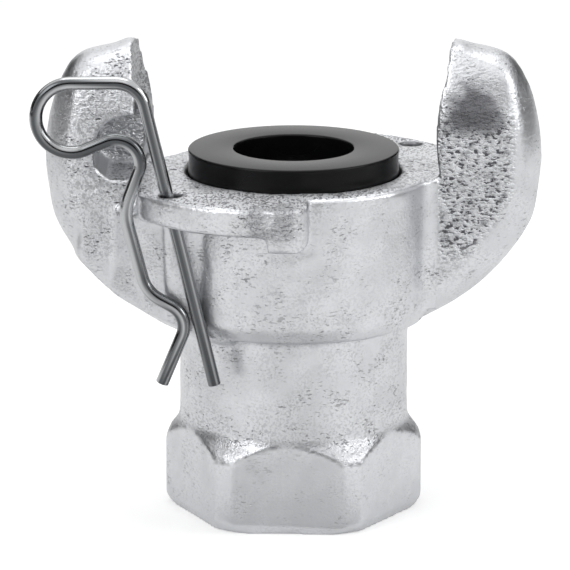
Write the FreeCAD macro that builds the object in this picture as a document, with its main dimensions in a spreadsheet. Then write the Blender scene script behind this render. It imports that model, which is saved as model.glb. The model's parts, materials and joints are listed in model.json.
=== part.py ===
import FreeCAD, Part
import os
import Sketcher
from math import pi

RADIANS = pi / 180
MARGIN = 5      # how far a cutting sketch reaches past the metal

# Claw hose coupling with a female pipe thread, in millimetres.
# The thread axis is +Z, the hexagon's end face is z = 0, and the two claws lie along X.
# The casting has two-fold symmetry about Z: each feature below is made on the -X side and
# turned once by 180 degrees.

SIZES = {
    # Heights
    "body_length": 48.4,          # hexagon end face to the face that carries the washer
    "hub_depth": 20.6,            # face down to the underside of the hub
    "flare_top": 14.0,            # end face up to where the neck starts to flare
    "flare_bottom": 9.3,          # end face up to where the flare reaches full size
    # Turned outline
    "hub_radius": 19.5,
    "hub_rim_bevel": 0.6,
    "hub_foot_radius": 18.2,      # hub just above the neck, after its bevelled foot
    "hub_foot_height": 2.2,
    "neck_radius": 16.0,
    "hex_across_flats": 32.5,
    "hex_corner_radius": 18.0,
    "hex_chamfer": 0.5,
    "hex_turn": -3.0,             # angle of the front flat from the claw line
    # Bore
    "thread_bore_radius": 11.9,
    "thread_bore_depth": 19.0,
    "thread_lead_in": 1.2,
    "passage_radius": 8.7,
    "passage_cone_height": 3.2,
    "washer_seat_radius": 14.9,
    "washer_seat_depth": 3.3,
    # Claws
    "claw_reach": 34.5,           # axis to the outermost point of a claw
    "claw_width": 14.6,
    "claw_equator": 2.3,          # widest point above the face
    "claw_back_radius": 9.2,      # crown of the claw's back, seen from above
    "claw_edge_rounding": 1.5,
    "claw_skin": 7.4,             # depth of the swept back
    "claw_side_radius": 26.0,
    "claw_side_turn": 28.0,
    "claw_shoulder_radius": 5.0,
    "claw_top_slope": 13.0,
    "claw_tip": 17.5,             # axis to where the swept back ends, inside the throat cut
    "arm_upper_radius": 22.0,
    "arm_upper_turn": 37.0,
    "arm_lower_radius": 34.5,
    "arm_foot": 15.5,             # axis to where the swept arm ends, inside the hub
    "fill_inset": 5.6,            # core of the claw inside its swept back
    "crown_spring": 5.0,          # height above the face where the claw starts to narrow
    "crown_height": 19.0,
    "crown_width": 6.0,
    "throat_radius": 22.2,        # inner side of a claw, seen from above
    "throat_shift": 2.3,          # its centre moves towards the open end of the groove
    # Groove for the ledge of the other half
    "groove_wall": 27.4,          # axis to the outer wall of the groove
    "groove_height": 8.9,
    "groove_rounding": 2.6,       # lower corner of the outer wall
    "groove_roof_rounding": 4.4,  # upper corner of the outer wall
    "groove_end": 4.0,            # claw middle to the closed end of the groove
    "notch_height": 10.7,
    "notch_start": -2.0,
    # Ledges
    "ledge_width": 6.8,           # how far it stands out from the hub
    "ledge_thickness": 4.0,
    "ledge_bevel": 0.6,
    "ledge_heel": 21.3,           # axis to the ledge's end beside its own claw
    "ledge_lead_angle": 95.0,     # from the claw line to the ledge's free end
    "stop_angle": 82.0,           # from the claw line to the stop under the free end
    "stop_thickness": 6.0,
    "stop_corner_radius": 2.2,
    "ledge_root_angle": 10.0,     # where the ledge starts, inside the claw's foot
    "ledge_end_radius": 3.5,      # corner of the free end, seen from above
    "clip_hole_angle": 44.0,
    "clip_hole_inset": 3.0,       # from the ledge's rim to the middle of the hole
    "clip_hole_radius": 1.6,
    "arm_fillet": 3.0,            # between the closed side of an arm and the hub
    # Web under the ledge
    "web_sweep": 60.0,
    "web_heel": 25.0,
    "web_corner": 17.5,
    "web_front": 14.9,
    # Washer
    "washer_radius": 14.7,
    "washer_top_radius": 14.5,
    "washer_hole_radius": 8.35,
    "washer_proud": 3.05,         # height above the face
    "washer_edge": 0.3,
    # Clip: wire, straight leg in the hole, then runs and bends in order
    "clip_wire": 1.8,
    "clip_lean": 13.4,
    "clip_leg_below": 25.4,       # from the middle of the ledge down to the leg's end
    "clip_leg_above": 14.9,
    "clip_crown_turn": 77.0,
    "clip_crown_radius": 4.0,
    "clip_top": 6.0,
    "clip_loop_turn": 202.0,
    "clip_loop_radius": 4.8,
    "clip_saddle": 3.1,
    "clip_hump_turn": 133.0,
    "clip_hump_radius": 3.3,
    "clip_waist": 3.8,
    "clip_belly_turn": 35.0,
    "clip_belly_radius": 6.3,
    "clip_side": 7.7,
    "clip_elbow_turn": 47.0,
    "clip_elbow_radius": 4.9,
    "clip_ramp": 1.7,
    "clip_knee_turn": 84.0,
    "clip_knee_radius": 3.4,
    "clip_tail": 7.3,
}

# The clip's runs, each with the bend that follows it and its side as the wire goes on.
CLIP_BENDS = [("(@clip_leg_below + @clip_leg_above)", "crown", "left"), ("@clip_top", "loop", "left"),
              ("@clip_saddle", "hump", "right"), ("@clip_waist", "belly", "left"),
              ("@clip_side", "elbow", "left"), ("@clip_ramp", "knee", "right")]


def cells(text):
    """Turn a formula with @names into an expression on the sheet."""
    return str(text).replace("@", "Sizes.")


def value(owner, text):
    """Work out a formula with the numbers that are in the sheet now."""
    return float(owner.evalExpression(cells(text)))


def make_sheet(doc):
    sheet = doc.addObject("Spreadsheet::Sheet", "Sizes")
    for row, (alias, number) in enumerate(SIZES.items(), start=1):
        sheet.set(f"A{row}", alias)
        sheet.set(f"B{row}", str(number))
        sheet.setAlias(f"B{row}", alias)
    doc.recompute()
    return sheet


def sketch_on(body, plane, name, lift="0", turn=None):
    """Sketch on an origin plane, lifted along its normal and turned about its upright."""
    sketch = body.newObject("Sketcher::SketchObject", name)
    support = next(f for f in body.Origin.OriginFeatures if f.Role == plane)
    sketch.AttachmentSupport = (support, [""])
    sketch.MapMode = "FlatFace"
    sketch.setExpression(".AttachmentOffset.Base.z", cells(lift))
    if turn is not None:
        upright = FreeCAD.Rotation(FreeCAD.Vector(0, 1, 0), value(sketch, turn))
        sketch.AttachmentOffset = FreeCAD.Placement(FreeCAD.Vector(0, 0, 0), upright)
        sketch.setExpression(".AttachmentOffset.Rotation.Angle", cells(turn))
    return sketch


def arc_between(start, end, radius, side):
    """Arc of less than half a turn from start to end that bends to the given side."""
    chord = end.sub(start)
    half = chord.Length / 2
    left = FreeCAD.Vector(-chord.y, chord.x, 0).normalize()
    reach = max(radius ** 2 - half ** 2, 0) ** 0.5
    if side == "right":
        reach = -reach
    centre = start.add(end).multiply(0.5).add(left.multiply(reach))
    circle = Part.Circle(centre, FreeCAD.Vector(0, 0, 1), radius)
    first, last = (start, end) if side == "left" else (end, start)
    return Part.ArcOfCircle(circle, circle.parameter(first), circle.parameter(last))


def draw(sketch, corners, closed=True):
    """Draw a chain of lines and arcs and tie every corner to the sheet.

    A corner is (x, y) or (x, y, side, radius). With a side, the edge from this corner to the
    next one is an arc that bends to the left or the right.
    """
    points = [FreeCAD.Vector(value(sketch, c[0]), value(sketch, c[1]), 0) for c in corners]
    count = len(corners) if closed else len(corners) - 1
    ends = []
    for i in range(count):
        start, end = points[i], points[(i + 1) % len(points)]
        if len(corners[i]) == 4:
            side, radius = corners[i][2:]
            edge = sketch.addGeometry(arc_between(start, end, value(sketch, radius), side))
            ends.append((edge, 1, 2) if side == "left" else (edge, 2, 1))
            bind(sketch, Sketcher.Constraint("Radius", edge, value(sketch, radius)), radius)
        else:
            edge = sketch.addGeometry(Part.LineSegment(start, end))
            ends.append((edge, 1, 2))
    for i in range(count):
        edge, first, last = ends[i]
        pin(sketch, edge, first, corners[i])
        if closed or i + 1 < count:
            after, after_first, _ = ends[(i + 1) % count]
            sketch.addConstraint(Sketcher.Constraint("Coincident", edge, last, after, after_first))
        else:
            pin(sketch, edge, last, corners[i + 1])


def bind(sketch, constraint, text):
    index = sketch.addConstraint(constraint)
    sketch.setExpression(f"Constraints[{index}]", cells(text))


def pin(sketch, edge, end, corner):
    """Hold one end of an edge at the corner's formulas."""
    x, y = corner[:2]
    bind(sketch, Sketcher.Constraint("DistanceX", edge, end, value(sketch, x)), x)
    bind(sketch, Sketcher.Constraint("DistanceY", edge, end, value(sketch, y)), y)


def draw_circle(sketch, x, y, radius):
    centre = FreeCAD.Vector(value(sketch, x), value(sketch, y), 0)
    circle = Part.Circle(centre, FreeCAD.Vector(0, 0, 1), value(sketch, radius))
    edge = sketch.addGeometry(circle)
    pin(sketch, edge, 3, (x, y))
    bind(sketch, Sketcher.Constraint("Radius", edge, value(sketch, radius)), radius)


def extrude(body, kind, name, sketch, length, flipped=False, symmetric=False):
    """Pad or Pocket of a sketch."""
    feature = body.newObject(f"PartDesign::{kind}", name)
    feature.Profile = sketch
    feature.SideType = "Symmetric" if symmetric else "One side"
    feature.Reversed = flipped
    feature.setExpression("Length", cells(length))
    return feature


def turn_about_z(body, kind, name, sketch, angle="360"):
    """Revolution or Groove of a sketch about the thread axis."""
    feature = body.newObject(f"PartDesign::{kind}", name)
    feature.Profile = sketch
    axis = next(f for f in body.Origin.OriginFeatures if f.Role == "Z_Axis")
    feature.ReferenceAxis = (axis, [""])
    feature.setExpression("Angle", cells(angle))
    return feature


def sweep(body, name, section, spine):
    feature = body.newObject("PartDesign::AdditivePipe", name)
    feature.Profile = section
    feature.Spine = (spine, [f"Edge{i + 1}" for i in range(spine.GeometryCount)])
    return feature


# Formulas for the outline of a claw in the XZ plane, as distances from the axis and heights.
EQUATOR = "(@body_length + @claw_equator)"
SIDE_MID = "(@claw_reach - @claw_side_radius)"
SIDE_END = (f"({SIDE_MID} + @claw_side_radius * cos(@claw_side_turn))",
            f"({EQUATOR} + @claw_side_radius * sin(@claw_side_turn))")
SHOULDER_MID = (f"({SIDE_MID} + (@claw_side_radius - @claw_shoulder_radius) * cos(@claw_side_turn))",
                f"({EQUATOR} + (@claw_side_radius - @claw_shoulder_radius) * sin(@claw_side_turn))")
SHOULDER_END = (f"({SHOULDER_MID[0]} + @claw_shoulder_radius * sin(@claw_top_slope))",
                f"({SHOULDER_MID[1]} + @claw_shoulder_radius * cos(@claw_top_slope))")
TIP_HEIGHT = f"({SHOULDER_END[1]} + ({SHOULDER_END[0]} - @claw_tip) * tan(@claw_top_slope))"
ARM_MID = "(@claw_reach - @arm_upper_radius)"
ARM_BEND = (f"({ARM_MID} + @arm_upper_radius * cos(@arm_upper_turn))",
            f"({EQUATOR} - @arm_upper_radius * sin(@arm_upper_turn))")
LOWER_MID = (f"({ARM_MID} + (@arm_upper_radius - @arm_lower_radius) * cos(@arm_upper_turn))",
             f"({EQUATOR} - (@arm_upper_radius - @arm_lower_radius) * sin(@arm_upper_turn))")
FOOT_TURN = f"acos((@arm_foot - {LOWER_MID[0]}) / @arm_lower_radius)"
FOOT_HEIGHT = f"({LOWER_MID[1]} - @arm_lower_radius * sin({FOOT_TURN}))"
HALF_CLAW = "@claw_width / 2"
LEDGE_UNDERSIDE = "(@body_length - @ledge_thickness)"
LEDGE_REACH = "(@hub_radius + @ledge_width)"
CLIP_X = f"(({LEDGE_REACH} - @clip_hole_inset) * cos(@clip_hole_angle))"
CLIP_Y = f"(({LEDGE_REACH} - @clip_hole_inset) * sin(@clip_hole_angle))"


def make_web(body):
    """Support under the ledge, from the open side of the arm to the hub."""
    profile = sketch_on(body, "XZ_Plane", "WebProfile", turn="180")
    top = "@body_length - @ledge_thickness / 2"
    draw(profile, [
        ("@arm_foot", top),
        ("@arm_foot", FOOT_HEIGHT, "left", "@arm_lower_radius"),
        (ARM_BEND[0], ARM_BEND[1]),
        (ARM_BEND[0], top),
    ])
    turn_about_z(body, "Revolution", "Web", profile, "@web_sweep")
    plan = sketch_on(body, "XY_Plane", "WebPlan", lift="@body_length")
    outside = f"-@claw_reach - {MARGIN}"
    draw(plan, [
        (outside, f"-{HALF_CLAW}"),
        ("-@web_heel", f"-{HALF_CLAW}"),
        ("-@web_corner", "-@web_front"),
        ("0", "-@web_front"),
        ("0", outside),
        (outside, outside),
    ])
    extrude(body, "Pocket", "WebTrim", plan, "@body_length")


def make_hub(body):
    """Hexagon blank, neck and hub, turned about the thread axis."""
    profile = sketch_on(body, "XZ_Plane", "TurnedProfile")
    underside = "(@body_length - @hub_depth)"
    flare_rise = "((@flare_top - @flare_bottom) / 2)"
    flare_step = "((@hex_corner_radius - @neck_radius) / 2)"
    flare_radius = f"(({flare_rise})^2 + ({flare_step})^2) / (2 * {flare_step})"
    draw(profile, [
        ("0", "0"),
        ("@hex_corner_radius - @hex_chamfer", "0"),
        ("@hex_corner_radius", "@hex_chamfer"),
        ("@hex_corner_radius", "@flare_bottom", "left", flare_radius),
        (f"@hex_corner_radius - {flare_step}", f"@flare_bottom + {flare_rise}", "right", flare_radius),
        ("@neck_radius", "@flare_top"),
        ("@neck_radius", underside),
        ("@hub_foot_radius", underside),
        ("@hub_radius", f"{underside} + @hub_foot_height"),
        ("@hub_radius", "@body_length - @hub_rim_bevel"),
        ("@hub_radius - @hub_rim_bevel", "@body_length"),
        ("0", "@body_length"),
    ])
    turn_about_z(body, "Revolution", "Hub", profile)


def make_claw(body):
    """Claw and arm on the -X side, with a back that is rounded like a letter D."""
    back = "(@claw_reach - @claw_back_radius)"
    corner = f"sqrt((@claw_back_radius - @claw_edge_rounding)^2 - ({HALF_CLAW} - @claw_edge_rounding)^2)"
    blend = "(@claw_back_radius / (@claw_back_radius - @claw_edge_rounding))"
    flank = (f"-({back} + {corner})", HALF_CLAW)
    crest = (f"-({back} + {corner} * {blend})", f"({HALF_CLAW} - @claw_edge_rounding) * {blend}")
    inner = "-(@claw_reach - @claw_skin)"
    section = sketch_on(body, "XY_Plane", "ClawSection", lift=EQUATOR)
    draw(section, [
        (inner, HALF_CLAW),
        (flank[0], flank[1], "left", "@claw_edge_rounding"),
        (crest[0], crest[1], "left", "@claw_back_radius"),
        (crest[0], f"-{crest[1]}", "left", "@claw_edge_rounding"),
        (flank[0], f"-{flank[1]}"),
        (inner, f"-{HALF_CLAW}"),
    ])
    upper = sketch_on(body, "XZ_Plane", "ClawPath")
    draw(upper, [
        ("-@claw_reach", EQUATOR, "right", "@claw_side_radius"),
        (f"-{SIDE_END[0]}", SIDE_END[1], "right", "@claw_shoulder_radius"),
        (f"-{SHOULDER_END[0]}", SHOULDER_END[1]),
        ("-@claw_tip", TIP_HEIGHT),
    ], closed=False)
    sweep(body, "ClawBack", section, upper)
    lower = sketch_on(body, "XZ_Plane", "ArmPath")
    draw(lower, [
        ("-@claw_reach", EQUATOR, "left", "@arm_upper_radius"),
        (f"-{ARM_BEND[0]}", ARM_BEND[1], "left", "@arm_lower_radius"),
        ("-@arm_foot", FOOT_HEIGHT),
    ], closed=False)
    sweep(body, "ArmBack", section, lower)
    core = sketch_on(body, "XZ_Plane", "ClawCore")
    draw(core, [
        ("-@claw_tip", f"{TIP_HEIGHT} - @fill_inset / cos(@claw_top_slope)"),
        ("-@claw_tip", "@body_length"),
        ("-@passage_radius", "@body_length"),
        ("-@passage_radius", f"{FOOT_HEIGHT} + @fill_inset"),
        (f"-{LOWER_MID[0]} - (@arm_lower_radius - @fill_inset) * cos({FOOT_TURN})",
         f"{LOWER_MID[1]} - (@arm_lower_radius - @fill_inset) * sin({FOOT_TURN})",
         "right", "(@arm_lower_radius - @fill_inset)"),
        (f"-{ARM_MID} - (@arm_upper_radius - @fill_inset) * cos(@arm_upper_turn)",
         f"{EQUATOR} - (@arm_upper_radius - @fill_inset) * sin(@arm_upper_turn)",
         "right", "(@arm_upper_radius - @fill_inset)"),
        ("-@claw_reach + @fill_inset", EQUATOR),
        (f"-{SHOULDER_MID[0]}", SHOULDER_MID[1]),
    ])
    extrude(body, "Pad", "ClawFill", core, "@claw_width", symmetric=True)


def shape_claw(body):
    """Narrow the claw to its crown, and cut its throat and the groove in it."""
    crown = sketch_on(body, "YZ_Plane", "CrownOutline")
    spring = "@body_length + @crown_spring"
    top = "@body_length + @crown_height"
    step = "((@claw_width - @crown_width) / 2)"
    rise = "(@crown_height - @crown_spring)"
    radius = f"({rise}^2 + {step}^2) / (2 * {step})"
    draw(crown, [
        (f"{HALF_CLAW} + {MARGIN}", spring),
        (HALF_CLAW, spring, "left", radius),
        ("@crown_width / 2", top),
        ("@crown_width / 2", f"{top} + {MARGIN}"),
        (f"{HALF_CLAW} + {MARGIN}", f"{top} + {MARGIN}"),
    ])
    draw(crown, [
        (f"-{HALF_CLAW} - {MARGIN}", spring),
        (f"-{HALF_CLAW}", spring, "right", radius),
        ("-@crown_width / 2", top),
        ("-@crown_width / 2", f"{top} + {MARGIN}"),
        (f"-{HALF_CLAW} - {MARGIN}", f"{top} + {MARGIN}"),
    ])
    extrude(body, "Pocket", "Crown", crown, f"@claw_reach + {MARGIN}")
    throat = sketch_on(body, "XY_Plane", "ThroatPlan", lift="@body_length")
    draw(throat, [
        ("0", "@throat_radius - @throat_shift", "left", "@throat_radius"),
        ("-@throat_radius", "-@throat_shift", "left", "@throat_radius"),
        ("0", "-@throat_radius - @throat_shift"),
    ])
    extrude(body, "Pocket", "Throat", throat, f"@crown_height + {MARGIN}", flipped=True)
    groove = sketch_on(body, "XZ_Plane", "GrooveOutline", lift=HALF_CLAW)
    roof = "@body_length + @groove_height"
    inside = f"-@throat_radius + {MARGIN}"
    draw(groove, [
        (inside, "@body_length"),
        (inside, roof),
        ("-@groove_wall + @groove_roof_rounding", roof, "left", "@groove_roof_rounding"),
        ("-@groove_wall", f"{roof} - @groove_roof_rounding"),
        ("-@groove_wall", "@body_length + @groove_rounding", "left", "@groove_rounding"),
        ("-@groove_wall + @groove_rounding", "@body_length"),
    ])
    extrude(body, "Pocket", "Groove", groove, f"{HALF_CLAW} + @groove_end")
    notch = sketch_on(body, "XZ_Plane", "NotchOutline", lift="-@notch_start")
    notch_roof = "@body_length + @notch_height"
    draw(notch, [
        (inside, roof),
        (inside, notch_roof),
        ("-@groove_wall + @groove_roof_rounding", notch_roof),
        ("-@groove_wall + @groove_roof_rounding", roof),
    ])
    extrude(body, "Pocket", "Notch", notch, "@groove_end - @notch_start")


def make_ledge(body):
    """Ledge that the other half's claw grips, with the stop under its free end."""
    profile = sketch_on(body, "XZ_Plane", "LedgeProfile", turn="180 + @ledge_root_angle")
    root = f"@passage_radius + {MARGIN}"
    draw(profile, [
        (root, LEDGE_UNDERSIDE),
        (f"{LEDGE_REACH} - @ledge_bevel", LEDGE_UNDERSIDE),
        (LEDGE_REACH, f"{LEDGE_UNDERSIDE} + @ledge_bevel"),
        (LEDGE_REACH, "@body_length - @ledge_bevel"),
        (f"{LEDGE_REACH} - @ledge_bevel", "@body_length"),
        (root, "@body_length"),
    ])
    turn_about_z(body, "Revolution", "Ledge", profile, "@ledge_lead_angle - @ledge_root_angle")
    heel = sketch_on(body, "XY_Plane", "HeelPlan", lift="@body_length")
    outside = f"-@claw_reach - {MARGIN}"
    draw(heel, [
        (outside, f"-{HALF_CLAW}"),
        ("-@ledge_heel", f"-{HALF_CLAW}"),
        ("-@ledge_heel", outside),
        (outside, outside),
    ])
    extrude(body, "Pocket", "Heel", heel, "@ledge_thickness")
    stop = sketch_on(body, "XZ_Plane", "StopProfile", turn="180 + @stop_angle")
    stop_underside = "(@body_length - @stop_thickness)"
    draw(stop, [
        (root, stop_underside),
        (f"{LEDGE_REACH} - @ledge_bevel", stop_underside),
        (LEDGE_REACH, f"{stop_underside} + @ledge_bevel"),
        (LEDGE_REACH, "@body_length - @ledge_bevel"),
        (f"{LEDGE_REACH} - @ledge_bevel", "@body_length"),
        (root, "@body_length"),
    ])
    turn_about_z(body, "Revolution", "Stop", stop, "@ledge_lead_angle - @stop_angle")
    hole = sketch_on(body, "XY_Plane", "ClipHolePlan", lift="@body_length")
    draw_circle(hole, f"-{CLIP_X}", f"-{CLIP_Y}", "@clip_hole_radius")
    extrude(body, "Pocket", "ClipHole", hole, "@ledge_thickness")


def round_ledge_end(body):
    """Round the free end of the ledge, seen from above, and the lower corner of its stop."""
    def point(along, back):
        """A place on the free end's radial line, moved back along the ledge."""
        return (f"-({along}) * cos(@ledge_lead_angle) - ({back}) * sin(@ledge_lead_angle)",
                f"-({along}) * sin(@ledge_lead_angle) + ({back}) * cos(@ledge_lead_angle)")

    plan = sketch_on(body, "XY_Plane", "LedgeEndPlan", lift="@body_length")
    middle = f"sqrt(({LEDGE_REACH} - @ledge_end_radius)^2 - @ledge_end_radius^2)"
    blend = f"({LEDGE_REACH} / ({LEDGE_REACH} - @ledge_end_radius))"
    outside = f"{LEDGE_REACH} + {MARGIN}"
    draw(plan, [
        (*point(middle, "0"), "right", "@ledge_end_radius"),
        point(f"{middle} * {blend}", f"@ledge_end_radius * {blend}"),
        point(outside, f"@ledge_end_radius * {blend}"),
        point(outside, f"-{MARGIN}"),
        point(middle, f"-{MARGIN}"),
    ])
    extrude(body, "Pocket", "LedgeEnd", plan, "@stop_thickness")
    side = sketch_on(body, "XZ_Plane", "StopCorner", lift=outside)
    end = f"(-{LEDGE_REACH} * cos(@ledge_lead_angle))"
    low = "(@body_length - @stop_thickness)"
    draw(side, [
        (end, f"{low} + @stop_corner_radius", "right", "@stop_corner_radius"),
        (f"{end} - @stop_corner_radius", low),
        (f"{end} - @stop_corner_radius", f"{low} - {MARGIN}"),
        (f"{end} + {MARGIN}", f"{low} - {MARGIN}"),
        (f"{end} + {MARGIN}", f"{low} + @stop_corner_radius"),
    ])
    extrude(body, "Pocket", "StopEnd", side, f"{outside} - @hub_radius")


def fill_arm_corner(body):
    """Fillet between the closed side of the arm and the hub."""
    plan = sketch_on(body, "XY_Plane", "ArmFilletPlan", lift="@body_length - @hub_depth + @hub_foot_height")
    reach = "(@hub_radius + @arm_fillet)"
    across = f"({HALF_CLAW} + @arm_fillet)"
    along = f"sqrt({reach}^2 - {across}^2)"
    inside = "@hub_radius * 0.8"
    draw(plan, [
        (f"-{along}", HALF_CLAW, "left", "@arm_fillet"),
        (f"-{along} * @hub_radius / {reach}", f"{across} * @hub_radius / {reach}"),
        (f"-{inside}", HALF_CLAW),
    ])
    extrude(body, "Pad", "ArmFillet", plan, "@hub_depth - @hub_foot_height")


def turn_once(body, name):
    """Repeat all that is made so far, half a turn round the thread axis."""
    pattern = body.newObject("PartDesign::PolarPattern", name)
    axis = next(f for f in body.Origin.OriginFeatures if f.Role == "Z_Axis")
    pattern.TransformMode = "Whole shape"
    pattern.Axis = (axis, [""])
    pattern.Angle = 360
    pattern.Occurrences = 2
    body.Tip = pattern
    return pattern


def cut_hexagon(body):
    flats = sketch_on(body, "XY_Plane", "HexagonPlan")
    draw_circle(flats, "0", "0", f"@hex_corner_radius + {MARGIN}")
    corner = "(@hex_across_flats / 2 / cos(30))"
    draw(flats, [(f"{corner} * cos(@hex_turn + {60 * k})", f"{corner} * sin(@hex_turn + {60 * k})")
                 for k in range(6)])
    extrude(body, "Pocket", "Hexagon", flats, "@flare_top", flipped=True)


def cut_bore(body):
    """Threaded socket, passage and washer seat in one turned cut."""
    profile = sketch_on(body, "XZ_Plane", "BoreProfile")
    seat = "@body_length - @washer_seat_depth"
    draw(profile, [
        ("0", "0"),
        ("@thread_bore_radius + @thread_lead_in", "0"),
        ("@thread_bore_radius", "@thread_lead_in"),
        ("@thread_bore_radius", "@thread_bore_depth"),
        ("@passage_radius", "@thread_bore_depth + @passage_cone_height"),
        ("@passage_radius", seat),
        ("@washer_seat_radius", seat),
        ("@washer_seat_radius", "@body_length"),
        ("0", "@body_length"),
    ])
    turn_about_z(body, "Groove", "Bore", profile)


def make_coupling_body(doc):
    body = doc.addObject("PartDesign::Body", "CouplingBody")
    body.Label = "coupling_body"
    make_web(body)
    make_hub(body)
    make_claw(body)
    shape_claw(body)
    fill_arm_corner(body)
    make_ledge(body)
    round_ledge_end(body)
    doc.recompute()
    turn_once(body, "SecondSide")
    cut_hexagon(body)
    cut_bore(body)
    return body


def make_sealing_washer(doc):
    body = doc.addObject("PartDesign::Body", "SealingWasher")
    body.Label = "sealing_washer"
    profile = sketch_on(body, "XZ_Plane", "WasherProfile")
    floor = "@body_length - @washer_seat_depth"
    top = "(@body_length + @washer_proud)"
    draw(profile, [
        ("@washer_hole_radius", floor),
        ("@washer_radius", floor),
        ("@washer_radius", "@body_length"),
        ("@washer_top_radius", f"{top} - @washer_edge"),
        ("@washer_top_radius - @washer_edge", top),
        ("@washer_hole_radius + @washer_edge", top),
        ("@washer_hole_radius", f"{top} - @washer_edge"),
    ])
    turn_about_z(body, "Revolution", "Washer", profile)
    return body


def bend_wire(sketch, start, heading, bends, tail):
    """Draw runs and bends one after another, each tangent to the one before.

    Lengths, radii and turns are tied to the sheet, so the wire is described as on a bending
    bench: run, bend, run, bend, and a last run.
    """
    point = FreeCAD.Vector(value(sketch, start[0]), value(sketch, start[1]), 0)
    angle = value(sketch, heading)
    before = None
    for run, bend, side in bends + [(tail, None, None)]:
        ahead = FreeCAD.Rotation(FreeCAD.Vector(0, 0, 1), angle).multVec(FreeCAD.Vector(1, 0, 0))
        length = value(sketch, run)
        end = point + ahead * length
        line = sketch.addGeometry(Part.LineSegment(point, end))
        if before is None:
            pin(sketch, line, 1, start)
            tilt = sketch.addConstraint(Sketcher.Constraint("Angle", line, angle * RADIANS))
            sketch.setExpression(f"Constraints[{tilt}]", cells(heading))
        else:
            sketch.addConstraint(Sketcher.Constraint("Tangent", before[0], before[1], line, 1))
        bind(sketch, Sketcher.Constraint("Distance", line, length), run)
        if bend is None:
            break
        radius = value(sketch, f"@clip_{bend}_radius")
        turn = value(sketch, f"@clip_{bend}_turn")
        sign = 1 if side == "left" else -1
        centre = end + FreeCAD.Vector(-ahead.y, ahead.x, 0) * (sign * radius)
        spin = FreeCAD.Rotation(FreeCAD.Vector(0, 0, 1), sign * turn)
        point = centre + spin.multVec(end - centre)
        circle = Part.Circle(centre, FreeCAD.Vector(0, 0, 1), radius)
        first, last = (end, point) if side == "left" else (point, end)
        arc = sketch.addGeometry(Part.ArcOfCircle(circle, circle.parameter(first), circle.parameter(last)))
        entry, leave = (1, 2) if side == "left" else (2, 1)
        sketch.addConstraint(Sketcher.Constraint("Tangent", line, 2, arc, entry))
        bind(sketch, Sketcher.Constraint("Radius", arc, radius), f"@clip_{bend}_radius")
        sweep_angle = sketch.addConstraint(Sketcher.Constraint("Angle", arc, turn * RADIANS))
        sketch.setExpression(f"Constraints[{sweep_angle}]", cells(f"@clip_{bend}_turn"))
        before = (arc, leave)
        angle += sign * turn


def make_safety_clip(doc):
    body = doc.addObject("PartDesign::Body", "SafetyClip")
    body.Label = "safety_clip"
    spine = sketch_on(body, "XZ_Plane", "ClipPath", lift=CLIP_Y)
    start = (f"-{CLIP_X} + @clip_leg_below * sin(@clip_lean)",
             "@body_length - @ledge_thickness / 2 - @clip_leg_below * cos(@clip_lean)")
    bend_wire(spine, start, "90 + @clip_lean", CLIP_BENDS, "@clip_tail")
    doc.recompute()
    section = body.newObject("Sketcher::SketchObject", "ClipSection")
    section.AttachmentSupport = (spine, ["Edge1"])
    section.MapMode = "NormalToEdge"
    section.MapPathParameter = 0
    draw_circle(section, "0", "0", "@clip_wire / 2")
    sweep(body, "Clip", section, spine)
    return body


def main():
    doc = FreeCAD.newDocument("ClawHoseCoupling")
    make_sheet(doc)
    parts = [make_coupling_body(doc), make_sealing_washer(doc), make_safety_clip(doc)]
    doc.recompute()
    for thing in doc.Objects:
        if "Invalid" in thing.State or "Error" in thing.State:
            raise RuntimeError(f"{thing.Name} did not build: {thing.State}")
    for part in parts:
        if part.Shape.isNull() or not part.Shape.isValid() or len(part.Shape.Solids) != 1:
            raise RuntimeError(f"{part.Label} is not one valid solid")
    os.makedirs("parts", exist_ok=True)
    for part in parts:
        part.Shape.exportStep(f"parts/{part.Label}.step")


main()
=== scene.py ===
"""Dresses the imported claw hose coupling: cast and zinc-plated body, rubber washer, wire clip.

Everything is in metres, in the row frame: the hexagon's end face is z = 0, +Z runs up the thread
axis, the claws lie along X, and the ledge that holds the clip faces -Y.
"""

import json
import math

import bmesh
import bpy
import numpy as np
from bpy.props import FloatProperty, FloatVectorProperty, IntProperty, PointerProperty
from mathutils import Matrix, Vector


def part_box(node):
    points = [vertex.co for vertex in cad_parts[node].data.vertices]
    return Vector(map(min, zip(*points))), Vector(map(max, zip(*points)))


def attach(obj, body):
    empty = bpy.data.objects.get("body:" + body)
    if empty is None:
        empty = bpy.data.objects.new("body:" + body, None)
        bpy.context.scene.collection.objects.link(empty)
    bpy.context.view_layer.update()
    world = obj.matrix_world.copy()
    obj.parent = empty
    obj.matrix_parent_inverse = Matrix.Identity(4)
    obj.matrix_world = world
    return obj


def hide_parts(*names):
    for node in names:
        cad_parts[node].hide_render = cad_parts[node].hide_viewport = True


bl_info = {
    "name": "Claw Hose Coupling",
    "version": (1, 0, 0),
    "blender": (4, 5, 0),
    "location": "View3D > Sidebar > Coupling",
    "description": "Builds the looks of a claw hose coupling around its packed frame",
    "category": "Object",
}

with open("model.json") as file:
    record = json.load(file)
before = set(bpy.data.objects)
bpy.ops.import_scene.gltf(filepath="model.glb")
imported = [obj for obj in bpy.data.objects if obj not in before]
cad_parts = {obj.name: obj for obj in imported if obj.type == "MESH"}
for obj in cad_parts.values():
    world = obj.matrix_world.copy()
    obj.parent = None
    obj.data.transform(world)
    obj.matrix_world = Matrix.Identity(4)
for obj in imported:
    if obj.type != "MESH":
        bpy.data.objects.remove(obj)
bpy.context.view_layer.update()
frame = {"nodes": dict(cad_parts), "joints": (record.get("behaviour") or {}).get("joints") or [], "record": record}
MOUNTS = {mount["name"]: mount for mount in frame["record"]["mounts"]}

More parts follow.
